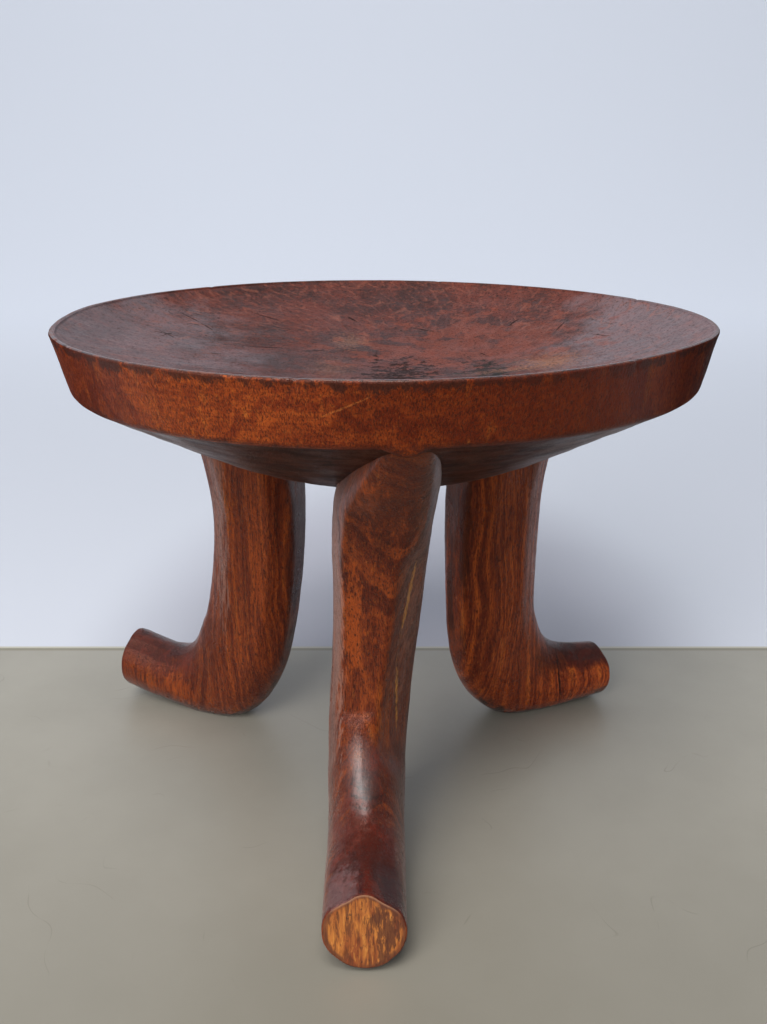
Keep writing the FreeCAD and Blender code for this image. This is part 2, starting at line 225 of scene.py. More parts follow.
depths, ridges = stroke_marks(radius[beneath], angle[beneath], under_strokes, RIDGE_BENEATH)
cut[beneath] = -depths * (1 - smooth_step(174 * MM, BAND_FOOT, radius[beneath]))
ridged[beneath] = ridges
drop = drop - cut

# Band and lip: shaved by hand, so their line wanders a little. The lip has small nicks worn into it, each
# with its turn in degrees, and its depth and half width in mm.
NICKS = (
    (-101.3, 1.7, 1.9), (-103.2, 0.8, 1.0), (-107.6, 0.7, 1.2), (-109.6, 0.6, 1.0), (-40, 0.8, 1.6),
    (-51, 0.7, 1.2), (-114, 0.6, 1.2), (-117, 0.5, 1.0), (-128, 0.6, 2.0), (-146, 0.6, 1.5),
    (-152, 0.8, 1.3), (-163, 0.7, 1.8), (-72, 0.4, 1.4), (24, 0.6, 2.2), (77, 0.5, 1.7), (131, 0.7, 1.9))
nicked = np.zeros_like(radius)
for nick_turn, depth, width in NICKS:
    away = past_turn(angle, radians(nick_turn)) * radius / MM
    nicked = np.maximum(nicked, depth * MM * np.exp(-((away / width) ** 2)))
near_crest = smooth_step(-8 * MM, -0.5 * MM, drop) * on_rim
pared = nicked * near_crest * (surface >= LIP)
pared += (0.35 + 0.35 * slow) * MM * on_rim * (surface >= LIP) * (surface < UNDERSIDE)
pared += (0.12 + 0.12 * quick) * MM * (surface == BAND)
drop = drop - (nicked * 0.5 + (0.06 + 0.06 * quick) * MM) * near_crest * (surface == LIP)
radius = radius - pared

# Foot of the band over each leg: it dips in a soft lobe that laps the top of the leg
LOBE_TURNS = (-86.7, 153.2, 34.3)
LOBE_REACH, LOBE_DIP, LOBE_SET_BACK = radians(4.3), 4.2 * MM, 1.2 * MM
for lobe_turn in LOBE_TURNS:
    away = np.abs(past_turn(angle, radians(lobe_turn))) / LOBE_REACH
    lobe = 0.5 + 0.5 * np.cos(pi * np.clip(away, 0, 1))
    low_on_band = smooth_step(0.45, 1, down_band) * (surface == BAND)
    lobe = lobe * (low_on_band + (surface == UNDERSIDE) * smooth_step(172 * MM, BAND_FOOT, radius))
    drop = drop - LOBE_DIP * lobe
    radius = radius - LOBE_SET_BACK * lobe


def smooth_form(name, verts, faces, slots=(), carried=()):
    """A smooth mesh in the scene, with the finish that each face takes and the values its points carry."""
    mesh = bpy.data.meshes.new(name)
    mesh.from_pydata(verts, [], faces)
    if slots:
        mesh.polygons.foreach_set("material_index", slots)
    for value in carried:
        mesh.attributes.new(value, "FLOAT", "POINT").data.foreach_set("value", carried[value])
    mesh.validate()
    mesh.shade_smooth()
    form = bpy.data.objects.new(name, mesh)
    bpy.context.scene.collection.objects.link(form)
    return form


def ring_finish(level):
    """Which finish a ring takes: its own surface's, but of the lip only the crest counts as lip."""
    if ring_surface[level] != LIP or FIRST_ON_CREST <= level <= LAST_ON_CREST:
        return int(ring_surface[level])
    return HOLLOW if level < FIRST_ON_CREST else BAND


seat_verts, ridge_shares, rings = [], [], []
for level, reach in enumerate(outline[:, 0]):
    start = len(seat_verts)
    if reach == 0:
        seat_verts.append((BOWL_AXIS.x, BOWL_AXIS.y, RIM_HEIGHT + float(drop[level].mean())))
        ridge_shares.append(0)
        rings.append([start] * SEGMENTS)
        continue
    xs = BOWL_AXIS.x + radius[level] * np.cos(turns)
    ys = BOWL_AXIS.y + radius[level] * np.sin(turns)
    seat_verts += list(zip(xs.tolist(), ys.tolist(), (RIM_HEIGHT + drop[level]).tolist()))
    ridge_shares += ridged[level].tolist()
    rings.append(list(range(start, start + SEGMENTS)))
seat_faces, seat_slots = [], []
for level, (ring, next_ring) in enumerate(zip(rings, rings[1:])):
    for step in range(SEGMENTS):
        ahead = (step + 1) % SEGMENTS
        corners = [ring[step], next_ring[step], next_ring[ahead], ring[ahead]]
        seat_faces.append(list(dict.fromkeys(corners)))
    seat_slots += [ring_finish(level + 1)] * SEGMENTS
bowl = smooth_form("carved_bowl", seat_verts, seat_faces, seat_slots, {"ridge": ridge_shares})


class Finish:
    """A node material put together step by step; each step returns the socket that carries its result."""

    def __init__(self, name):
        self.material = bpy.data.materials.new(name)
        self.material.use_nodes = True
        self.tree = self.material.node_tree
        self.shader = self.tree.nodes["Principled BSDF"]
        self.place = self.add("ShaderNodeTexCoord").outputs["Object"]
        facing = self.add("ShaderNodeNewGeometry").outputs["Normal"]
        self.upward = self.add("ShaderNodeSeparateXYZ", Vector=facing).outputs["Z"]
        spot = self.add("ShaderNodeSeparateXYZ", Vector=self.place)
        self.depth, self.height = spot.outputs["Y"], spot.outputs["Z"]

    def feed(self, socket, value):
        """Links an input to a socket, or sets it to a number or a colour."""
        if isinstance(value, bpy.types.NodeSocket):
            self.tree.links.new(value, socket)
        else:
            socket.default_value = value

    def give(self, name, value):
        """Feeds one of the shader's own inputs."""
        self.feed(self.shader.inputs[name], value)

    def add(self, kind, **inputs):
        """A new node with its named inputs fed; an underscore stands for the space in an input's name."""
        node = self.tree.nodes.new(kind)
        for name, value in inputs.items():
            self.feed(node.inputs[name.replace("_", " ")], value)
        return node

    def carried(self, name):
        """A value that the mesh carries at each of its points."""
        node = self.add("ShaderNodeAttribute")
        node.attribute_name = name
        return node.outputs["Fac"]

    def stretched(self, across, upright):
        """The place on the block, in features of the given sizes in mm, across and along the grain."""
        scale = (1 / (across * MM), 1 / (across * MM), 1 / (upright * MM))
        return self.add("ShaderNodeMapping", Vector=self.place, Scale=scale).outputs[0]

    def mottle(self, where, detail=3.0, rough=0.5, warp=0.0):
        """Random clouds or specks, as fine as the given place is stretched."""
        node = self.add(
            "ShaderNodeTexNoise", Vector=where, Scale=1, Detail=detail, Roughness=rough, Distortion=warp)
        return node.outputs["Fac"]

    def span(self, value, low, high, to_low=0.0, to_high=1.0):
        """An easy curve from to_low, where the value is low, to to_high, where it is high."""
        node = self.add(
            "ShaderNodeMapRange", Value=value, From_Min=low, From_Max=high, To_Min=to_low, To_Max=to_high)
        node.interpolation_type = "SMOOTHSTEP"
        return node.outputs["Result"]

    def reckon(self, kind, one, two=0):
        """The result of one sum, such as ADD or MAXIMUM, on one or two values."""
        node = self.add("ShaderNodeMath")
        node.operation = kind
        self.feed(node.inputs[0], one)
        self.feed(node.inputs[1], two)
        return node.outputs[0]

    def blend(self, share, under, over, kind="MIX"):
        """One colour with another over it, as far as the share says."""
        node = self.add("ShaderNodeMix")
        node.data_type = "RGBA"
        node.blend_type = kind
        self.feed(node.inputs["Factor"], share)
        for name, colour in (("A", under), ("B", over)):
            socket = [s for s in node.inputs if s.name == name and s.type == "RGBA"][0]
            self.feed(socket, colour)
        return [s for s in node.outputs if s.type == "RGBA"][0]

    def stain(self, under, share, strength, over):
        """One colour with another over it, as far as the share says, times a strength."""
        return self.blend(self.reckon("MULTIPLY", share, strength), under, over)

    def bump(self, height, depth, strength, over=None):
        """Relief from a height, laid over an earlier relief if one is given."""
        node = self.add("ShaderNodeBump", Height=height, Distance=depth, Strength=strength)
        if over:
            self.feed(node.inputs["Normal"], over)
        return node.outputs[0]


def patch(wood, centre, reach, ragged, grain, upright=1, turn=0, lean=0):
    """Share of a patch of colour round a place on the block, in mm, ragged at its edge; used for stains and
    for painted shade, light and sheen.
    """
    near = wood.add("ShaderNodeMapping", Vector=wood.place, Location=[c * MM for c in centre],
                    Rotation=(0, lean, turn), Scale=[r * MM for r in reach])
    near.vector_type = "TEXTURE"
    length = wood.add("ShaderNodeVectorMath", Vector=near.outputs[0])
    length.operation = "LENGTH"
    torn = wood.mottle(wood.stretched(grain, grain * upright), 4, 0.65)
    reached = wood.reckon("ADD", length.outputs["Value"], wood.span(torn, 0.3, 0.7, ragged, -ragged))
    return wood.span(reached, 0.5, 1.1, 1, 0)


def growth_rings(wood):
    """Uneven light and dark layers round the heart of the block, which lies near the bowl's axis."""
    from_heart = wood.add("ShaderNodeMapping", Vector=wood.place, Location=(-6 * MM, -14 * MM, 0),
                          Rotation=(0.03, -0.05, 0), Scale=(1, 1, 0))
    out = wood.add("ShaderNodeVectorMath", Vector=from_heart.outputs[0])
    out.operation = "LENGTH"
    broad = wood.span(wood.mottle(wood.stretched(70, 120), 2, 0.5), 0.2, 0.8, -8 * MM, 8 * MM)
    close = wood.span(wood.mottle(wood.stretched(14, 60), 2, 0.5), 0.2, 0.8, -1.6 * MM, 1.6 * MM)
    layer = wood.reckon("ADD", wood.reckon("ADD", out.outputs["Value"], broad), close)
    rings = wood.add("ShaderNodeTexNoise", Scale=1 / (4.2 * MM), Detail=3, Roughness=0.62)
    rings.noise_dimensions = "1D"
    wood.feed(rings.inputs["W"], layer)
    return rings.outputs["Fac"]


def upright_grain(wood, bright, plain, deep, glow, fibre_length, clouding):
    """Long grain: growth layers, streaks and fibres up the block, and clouds where more of the wax stayed."""
    rings = growth_rings(wood)
    fibres = wood.mottle(wood.stretched(0.8, fibre_length), 3, 0.65, 0.3)
    streaks = wood.mottle(wood.stretched(6, 130), 4, 0.6, 0.5)
    clouds = wood.mottle(wood.stretched(42, 75), 4, 0.6, 0.9)
    figure = wood.reckon("ADD", wood.reckon("MULTIPLY", rings, 0.6), wood.reckon("MULTIPLY", streaks, 0.4))
    colour = wood.blend(wood.span(figure, 0.31, 0.58), deep, plain)
    colour = wood.blend(wood.span(figure, 0.46, 0.66, 0, 0.75), colour, bright)
    colour = wood.blend(wood.span(streaks, 0.58, 0.76, 0, 0.5), colour, glow)
    colour = wood.blend(wood.span(clouds, 0.48, 0.74, 0, clouding), colour, deep)
    line = wood.reckon("ABSOLUTE", wood.reckon("SUBTRACT", rings, 0.5))
    colour = wood.blend(wood.span(line, 0.0, 0.02, 0.16, 0), colour, [c * 0.5 for c in deep[:3]] + [1])
    colour = wood.blend(wood.span(fibres, 0.34, 0.50, 0.7, 0), colour, [c * 0.4 for c in deep[:3]] + [1])
    colour = wood.blend(wood.span(fibres, 0.54, 0.72, 0, 0.35), colour, glow)
    return colour, fibres


def pores(wood, across, upright, low, high):
    """Open ends of the wood's vessels, as short dark dashes along the grain."""
    dashes = wood.mottle(wood.stretched(across, upright), 2, 0.6, 0.2)
    return wood.span(dashes, low, high)


WARM_GLOSS = (1, 0.55, 0.45, 1)
WAX_GLOSS = 0.42


def waxed(wood, colour, open_pores, fibres, dull, shiny, grain_depth, veil=0.0):
    """Waxed and handled surface, duller in the pores and where it is worn, with a fine leathery relief."""
    wood.give("Base Color", colour)
    wear = wood.mottle(wood.stretched(22, 22), 4, 0.65)
    sheen = wood.span(wear, 0.34, 0.66, shiny, dull)
    in_pores = wood.reckon("MULTIPLY", open_pores, 0.2)
    wood.give("Roughness", wood.reckon("ADD", sheen, in_pores))
    wood.give("IOR", 1.48)
    wood.give("Specular IOR Level", WAX_GLOSS)
    wood.give("Specular Tint", WARM_GLOSS)
    wood.give("Coat Roughness", 0.36)
    wood.give("Sheen Weight", veil)
    wood.give("Sheen Roughness", 0.35)
    leather = wood.mottle(wood.stretched(1.5, 2.4), 4, 0.65)
    relief = wood.bump(leather, 0.5 * MM, 0.6)
    relief = wood.bump(wood.reckon("MULTIPLY", open_pores, -1), grain_depth, 0.6, relief)
    relief = wood.bump(fibres, grain_depth, 0.6, relief)
    wood.give("Normal", relief)


INK = (0.012, 0.006, 0.005, 1)
GREEN_BLACK = (0.012, 0.016, 0.014, 1)
TAN = (0.28, 0.130, 0.080, 1)
# Painted sheen: a grey reflection laid into the colour of the hollow's left and right walls, with the place,
# reach and strength of each
PAINTED_DISH_SHEEN = (0.205, 0.172, 0.195, 1)
PAINTED_DISH_SHEENS = (((-170, -2, 285), (98, 140, 60), 0.44), ((184, -6, 288), (92, 134, 60), 0.56))
# Scratches and cuts from use, and a star crack on the left: place across and back, half length and turn
DISH_CUTS = (
    (-128, 92, 11, 2.5), (-116, 80, 9, 2.3), (-78, 121, 13, 2.7), (-68, 102, 9, 2.9), (-71, 55, 14, 0.2),
    (-42, 56, 12, 0.35), (-135, 45, 10, 0.1), (-135, 45, 9, 1.3), (-135, 45, 11, 2.4), (-99, 20, 8, 0.7),
    (120, 78, 10, 1.1), (139, 40, 9, 2.2), (92, 104, 9, 0.9), (30, 108, 10, 2.6), (-20, 131, 8, 2.2),
    (66, 40, 8, 1.9))
# Dark spots, and tan places rubbed in the middle: place and reach, raggedness, grain, strength and colour
DISH_SPOTS = (
    ((13, -9), (17, 34), 1.4, 6, 0.85, INK), ((63, -12), (11, 27), 1.2, 6, 0.8, GREEN_BLACK),
    ((-30, -68), (60, 16), 1.2, 7, 0.6, INK), ((101, -4), (15, 19), 1.2, 1.6, 0.75, TAN),
    ((76, -14), (20, 5), 1.2, 1.6, 0.45, TAN), ((-20, 82), (9, 14), 1.4, 2, 0.45, TAN),
    ((-30, 8), (10, 22), 1.4, 2, 0.3, TAN))


def dish_finish():
    """Hollow of the bowl: end grain, dark where it drank the wax, redder on the ridges between strokes, with
    a painted grey sheen on its left and right walls.
    """
    wood = Finish("dish_wood")
    blotches = wood.mottle(wood.stretched(34, 34), 7, 0.66, 0.4)
    flecks = wood.mottle(wood.stretched(3.0, 4), 5, 0.75, 0.3)
    rings = growth_rings(wood)
    base = wood.reckon("ADD", wood.reckon("MULTIPLY", blotches, 0.55), wood.reckon("MULTIPLY", flecks, 0.33))
    base = wood.reckon("ADD", base, wood.reckon("MULTIPLY", rings, 0.12))
    colour = wood.blend(wood.span(base, 0.40, 0.60), (0.030, 0.012, 0.012, 1), (0.108, 0.023, 0.015, 1))
    # Painted sheen on the left and right walls of the hollow
    for centre, reach, strength in PAINTED_DISH_SHEENS:
        colour = wood.stain(colour, patch(wood, centre, reach, 0.28, 40), strength, PAINTED_DISH_SHEEN)
    redder = patch(wood, (55, 60, 270), (75, 60, 60), 0.8, 16)
    colour = wood.stain(colour, redder, 0.5, (0.21, 0.040, 0.016, 1))
    colour = wood.stain(colour, wood.carried("ridge"), 0.6, (0.27, 0.085, 0.052, 1))
    colour = wood.blend(wood.span(flecks, 0.36, 0.46, 0.65, 0), colour, (0.016, 0.008, 0.008, 1))
    colour = wood.blend(wood.span(flecks, 0.57, 0.70, 0, 0.5), colour, (0.22, 0.062, 0.032, 1))
    dull = wood.span(flecks, 0.3, 0.5, 0.25, 0)
    for across, back, half_length, turn in DISH_CUTS:
        mark = patch(wood, (across, back, 275), (half_length, 0.9, 60), 0.25, 5, turn=turn)
        colour = wood.stain(colour, mark, 0.8, INK)
        dull = wood.reckon("MAXIMUM", dull, mark)
    for centre, reach, ragged, grain, strength, shade in DISH_SPOTS:
        spot = patch(wood, (*centre, 266), (*reach, 60), ragged, grain)
        spot = wood.reckon("MULTIPLY", spot, strength)
        colour = wood.blend(spot, colour, shade)
        dull = wood.reckon("MAXIMUM", dull, spot)
    open_pores = pores(wood, 1.3, 2.4, 0.57, 0.65)
    colour = wood.stain(colour, open_pores, 0.6, INK)
    waxed(wood, colour, open_pores, flecks, dull=0.58, shiny=0.44, grain_depth=0.35 * MM)
    wood.give("Specular IOR Level", wood.span(dull, 0, 1, 0.40, 0.05))
    return wood


def lip_finish():
    """Crest of the rim: rubbed smooth and shiny by hands, most of all at the front."""
    wood = Finish("lip_wood")
    worn = wood.mottle(wood.stretched(9, 9), 5, 0.65)
    specks = wood.mottle(wood.stretched(1.8, 2), 3, 0.6)
    colour = wood.blend(wood.span(worn, 0.38, 0.62), (0.040, 0.014, 0.011, 1), (0.13, 0.036, 0.018, 1))
    colour = wood.blend(wood.span(specks, 0.54, 0.64, 0, 0.8), colour, INK)
    wood.give("Base Color", colour)
    handled = wood.span(wood.depth, -110 * MM, 20 * MM, -0.14, 0.12)
    roughness = wood.reckon("ADD", wood.span(worn, 0.35, 0.65, 0.32, 0.46), handled)
    wood.give("Roughness", roughness)
    wood.give("Specular IOR Level", 0.7)
    wood.give("Normal", wood.bump(specks, 0.2 * MM, 0.3))
    return wood


CHIPS = ((171, -50, 289), (176, -38, 290), (161, -70, 288), (-106, -138, 293))


def band_finish():
    """Outside of the rim: long grain, orange-brown, bruised along the lip and the foot, painted light at the
    front left, darker and matt at both ends under a painted grey sheen.
    """
    wood = Finish("band_wood")
    colour, fibres = upright_grain(
        wood, bright=(0.40, 0.082, 0.014, 1), plain=(0.30, 0.052, 0.010, 1), deep=(0.17, 0.024, 0.007, 1),
        glow=(0.48, 0.175, 0.032, 1), fibre_length=2.6, clouding=0.4)
    # Painted light: the band's colour is multiplied darker everywhere except a patch at the front left, where
    # the light falls
    painted_light_front_left = patch(wood, (-72, -165, 280), (72, 66, 90), 0.35, 18)
    colour = wood.blend(wood.span(painted_light_front_left, 0, 1, 0.95, 0), colour, (0.58, 0.50, 0.52, 1), "MULTIPLY")
    waves = wood.mottle(wood.stretched(30, 1.7), 3, 0.6, 0.5)
    colour = wood.blend(wood.span(waves, 0.38, 0.52, 0.4, 0), colour, (0.12, 0.016, 0.006, 1))
    growth_line = patch(wood, (-15, -183, 285), (15, 20, 0.55), 0.3, 3, lean=-0.43)
    colour = wood.stain(colour, growth_line, 0.4, (0.55, 0.17, 0.04, 1))
    # Bruises, gathered just under the lip and at the foot of the band
    bruises = wood.mottle(wood.stretched(7, 9), 5, 0.7, 0.4)
    by_lip = wood.span(wood.height, RIM_HEIGHT - 12 * MM, RIM_HEIGHT - 1 * MM, -0.14, 0.16)
    bruised = wood.span(wood.reckon("ADD", bruises, by_lip), 0.54, 0.66, 0, 0.85)
    colour = wood.blend(bruised, colour, (0.040, 0.012, 0.009, 1))
    by_foot = wood.span(wood.height, RIM_HEIGHT - 33 * MM, RIM_HEIGHT - 25 * MM, 0.10, -0.16)
    bruised = wood.span(wood.reckon("ADD", bruises, by_foot), 0.56, 0.70, 0, 0.7)
    colour = wood.blend(bruised, colour, (0.055, 0.012, 0.008, 1))
    # Darker to the right of the front leg; darker still at both ends, painted shade at the right end, with a
    # painted grey sheen speckled over both ends
    darker = patch(wood, (96, -160, 283), (74, 50, 60), 0.4, 16)
    colour = wood.stain(colour, darker, 0.35, (0.10, 0.013, 0.006, 1))
    # Painted shade at the right end of the band, where little light falls, and the same darkening at its left
    # end
    painted_shade_right_end = patch(wood, (186, 0, 280), (52, 110, 60), 0.35, 6, upright=3)
    darker_left_end = patch(wood, (-192, 10, 280), (44, 84, 60), 0.35, 6, upright=3)
    darker_band_ends = wood.reckon("MAXIMUM", painted_shade_right_end, darker_left_end)
    colour = wood.stain(colour, darker_band_ends, 0.7, (0.040, 0.013, 0.009, 1))
    # Painted sheen: a speckled pale grey over both ends of the band, standing in for the pale wall reflected
    # where the band turns away
    painted_sheen_right_end = patch(wood, (184, -50, 274), (22, 42, 34), 0.5, 3)
    painted_sheen_left_end = patch(wood, (-182, -46, 278), (20, 44, 34), 0.5, 3)
    painted_sheen_ends = wood.reckon("MAXIMUM", painted_sheen_right_end, painted_sheen_left_end)
    sheen_speckles = wood.span(wood.mottle(wood.stretched(1.6, 9), 3, 0.6), 0.40, 0.62, 0, 0.6)
    colour = wood.stain(colour, painted_sheen_ends, sheen_speckles, (0.19, 0.125, 0.115, 1))
    for centre in CHIPS:
        chip = patch(wood, centre, (3.2, 3.2, 2.4), 0.9, 1.6)
        colour = wood.stain(colour, chip, 0.8, (0.50, 0.33, 0.20, 1))
    open_pores = pores(wood, 0.6, 2.0, 0.53, 0.60)
    colour = wood.stain(colour, open_pores, 0.62, (0.030, 0.008, 0.005, 1))
    waxed(wood, colour, open_pores, fibres, dull=0.52, shiny=0.38, grain_depth=0.25 * MM)
    matt_right = patch(wood, (186, 0, 280), (100, 200, 90), 0, 6)
    matt_left = patch(wood, (-192, 10, 280), (125, 215, 90), 0, 6)
    matt_ends = wood.reckon("MAXIMUM", matt_right, matt_left)
    wood.give("Specular IOR Level", wood.span(matt_ends, 0, 1, 0.36, 0.03))
    wood.give("Roughness", wood.span(matt_ends, 0, 1, 0.44, 0.75))
    return wood


def underside_finish():
    """Underside: dark, with the marks of long cuts; their ridges are redder by the front leg and carry a
    painted pale sheen away from it, where the wax is shinier too.
    """
    wood = Finish("underside_wood")
    shade = wood.mottle(wood.stretched(14, 14), 5, 0.65, 0.6)
    flecks = wood.mottle(wood.stretched(1.8, 4), 4, 0.65)
    colour = wood.blend(wood.span(shade, 0.36, 0.62), (0.011, 0.003, 0.002, 1), (0.055, 0.012, 0.005, 1))
    by_front_leg = patch(wood, (0, -150, 250), (118, 130, 100), 0, 20)
    # Ridges of the cuts: redder by the front leg, and away from it a painted pale sheen laid on them
    ridge_tone_and_sheen = wood.blend(by_front_leg, (0.20, 0.135, 0.12, 1), (0.16, 0.065, 0.042, 1))
    ridge_tone_and_sheen_share = wood.span(by_front_leg, 0, 1, 0.85, 0.42)
    colour = wood.stain(colour, wood.carried("ridge"), ridge_tone_and_sheen_share, ridge_tone_and_sheen)
    colour = wood.blend(wood.span(flecks, 0.36, 0.48, 0.6, 0), colour, (0.014, 0.007, 0.006, 1))
    open_pores = pores(wood, 0.7, 2.4, 0.58, 0.66)
    waxed(wood, colour, open_pores, flecks, dull=0.50, shiny=0.34, grain_depth=0.3 * MM)
    wood.give("Specular IOR Level", wood.span(by_front_leg, 0, 1, 0.85, 0.13))
    return wood


for made in (dish_finish(), lip_finish(), band_finish(), underside_finish()):
    bowl.data.materials.append(made.material)
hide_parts("seat")
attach(bowl, "root")

# Legs: three legs left standing in the same block. Each flares out of the bowl's underside up to the band,
# comes down nearly upright, rounds into the heel that it stands on and kicks outward into a foot with a ridge
# along its top. Sizes here are in mm, at eight stations from the root to the toe.
RINGS_ALONG, POINTS_AROUND = 300, 168
IN_HEIGHTS = (250, 210, 163, 101, 45, -1.2, -1.6)
SQUARENESS = (1.0, 0.45, 0.22, 0.13, 0.09, 0.04, 0.02, 0.01)
TAPER = (0.45, 0.12, 0.04, 0, 0, 0, 0, 0)
FOOT_RIDGE = (0, 0, 0, 0, 0, 0.15, 0.7, 1)
PLANE_SHARPNESS, CLEAR_OF_PLANES = 34, 1.25
SHAVING_CUTS, CUT_RADIUS = 150, 24
TOE_EASING = ((0.012, 0.35), (0.035, 0.55))
TOE_RINGS, TOE_ROUGHNESS = 14, 0.22
round_turns = np.arange(POINTS_AROUND) * 2 * pi / POINTS_AROUND


def through(stops, values, wanted):
    """Natural cubic curve through the given values, read at the wanted places."""
    count = len(stops)
    gaps = np.diff(stops)
    matrix, right = np.eye(count), np.zeros((count, values.shape[1]))
    for row in range(1, count - 1):
        matrix[row, row - 1:row + 2] = gaps[row - 1], 2 * (gaps[row - 1] + gaps[row]), gaps[row]
        leaving = (values[row + 1] - values[row]) / gaps[row]
        coming = (values[row] - values[row - 1]) / gaps[row - 1]
        right[row] = 6 * (leaving - coming)
    bends = np.linalg.solve(matrix, right)
    piece = np.clip(np.searchsorted(stops, wanted, side="right") - 1, 0, count - 2)
    gap = gaps[piece][:, None]
    ahead, behind = (stops[piece + 1] - wanted)[:, None], (wanted - stops[piece])[:, None]
    return (
        (bends[piece] * ahead**3 + bends[piece + 1] * behind**3) / (6 * gap)
        + (values[piece] / gap - bends[piece] * gap / 6) * ahead
        + (values[piece + 1] / gap - bends[piece + 1] * gap / 6) * behind
    )


def hat(value, middle, spread):
    """1 at the middle, falling evenly to 0 at the spread on either side."""
    return np.clip(1 - np.abs(value - middle) / spread, 0, 1)


def trimmed_by(planes, station):
    """Share of its round size that the leg keeps where the knife left planes. Each plane has its facing in
    degrees, the share of the half width that it keeps, and the stations that it starts and ends at."""
    trimmed = np.ones((len(station), POINTS_AROUND))
    for facing, keep, first, last in planes:
        begun = smooth_step(first - 0.45, first + 0.35, station)
        ended = smooth_step(last - 0.35, last + 0.45, station)
        kept = CLEAR_OF_PLANES - (CLEAR_OF_PLANES - keep) * (begun * (1 - ended))
        slant = np.clip(np.cos(round_turns - radians(facing)), 0, 1)
        trimmed = trimmed + (slant / kept) ** PLANE_SHARPNESS
    return trimmed ** (-1 / PLANE_SHARPNESS)


def leg_skin(outer_line, inner_reach, toe_low, asides, half_widths, root_skew, planes):
    """Rings of points from the root to the toe, the middle of each, and how far down the leg it lies."""
    outer = np.array([(reach, 0, tall) for reach, tall in outer_line])
    inner = np.array([(reach, 0, tall) for reach, tall in zip(inner_reach, (*IN_HEIGHTS, toe_low))])
    middle = (outer + inner) / 2 + np.array([(0, side, 0) for side in asides])
    outward = (outer - inner) / 2
    skews = (root_skew, root_skew * 0.25, 0, 0, 0, 0, 0, 0)
    shares = np.array([half_widths, SQUARENESS, FOOT_RIDGE, TAPER, skews]).T
    stops = np.concatenate([[0], np.cumsum(np.linalg.norm(np.diff(middle, axis=0), axis=1))])
    along = np.linspace(0, stops[-1], RINGS_ALONG)
    lines = through(stops, np.hstack([middle, outward, shares]), along)
    middle, outward = lines[:, 0:3], lines[:, 3:6]
    half_width, square, ridge, taper, skew = np.split(lines[:, 6:], 5, axis=1)
    away = np.degrees(np.minimum(round_turns, 2 * pi - round_turns))
    swell = 1 + np.clip(ridge, 0, 1) * (0.030 * hat(away, 0, 24) - 0.020 * hat(away, 138, 28))
    swell = swell * trimmed_by(planes, np.interp(along, stops, np.arange(len(stops)))[:, None])
    power = 2 / (2 + 3.4 * np.clip(square, 0, 1))
    forward = np.sign(np.cos(round_turns)) * np.abs(np.cos(round_turns)) ** power
    sideways = np.sign(np.sin(round_turns)) * np.abs(np.sin(round_turns)) ** power
    sideways = sideways * (1 - taper * forward) + skew * forward / half_width
    skin = (
        middle[:, None, :]
        + (forward * swell)[:, :, None] * outward[:, None, :]
        + (sideways * swell * half_width)[:, :, None] * np.array([0, 1, 0])
    )
    return skin, middle, along


def shaved(skin, middle, along, seed):
    """The skin with long shaving cuts down it, and with the slow unevenness of hand work."""
    inward = middle[:, None, :] - skin
    inward /= np.linalg.norm(inward, axis=2, keepdims=True)
    girth = 2 * pi * CUT_RADIUS
    down, across = np.meshgrid(along, round_turns * CUT_RADIUS, indexing="ij")
    cuts = np.zeros_like(down)
    dice = random.Random(seed)
    for _ in range(SHAVING_CUTS):
        place, side, length = dice.uniform(0, along[-1]), dice.uniform(0, girth), dice.uniform(26, 60)
        width, lean, depth = dice.uniform(4, 7.5), dice.gauss(0, 0.05), dice.uniform(0.12, 0.42)
        for once_round in (0, -girth, girth):
            past = across - (side + once_round)
            run = (down - place) * cos(lean) + past * sin(lean)
            off = past * cos(lean) - (down - place) * sin(lean)
            cuts = np.maximum(cuts, depth * (1 - (run / length) ** 2 - (off / width) ** 2))
    flat = skin.reshape(-1, 3)
    uneven = 0.45 * wander(flat, 38, seed) + 0.15 * wander(flat, 9, seed + 1)
    cuts = (cuts + uneven.reshape(cuts.shape)) * smooth_step(0, 20, along)[:, None]
    return skin + inward * cuts[:, :, None]


def with_toe(skin, centre, seed):
    """The skin closed at the toe: its edge is eased, and the saw cut inside it is left a little rough."""
    toe_ring = skin[-1]
    facing = (toe_ring - skin[-4]).mean(0)
    facing /= np.linalg.norm(facing)
    eased = [toe_ring + (centre - toe_ring) * inset + facing * proud for inset, proud in TOE_EASING]
    edge = eased[-1]
    sawn = [edge + (edge.mean(0) - edge) * share for share in np.linspace(0, 1, TOE_RINGS + 2)[1:-1]]
    rough = TOE_ROUGHNESS * wander(np.reshape(sawn, (-1, 3)), 3.5, seed).reshape(TOE_RINGS, POINTS_AROUND, 1)
    closed = np.concatenate([skin, eased, sawn + rough * facing])
    closed[:, :, 2] = np.maximum(closed[:, :, 2], 0)
    return closed


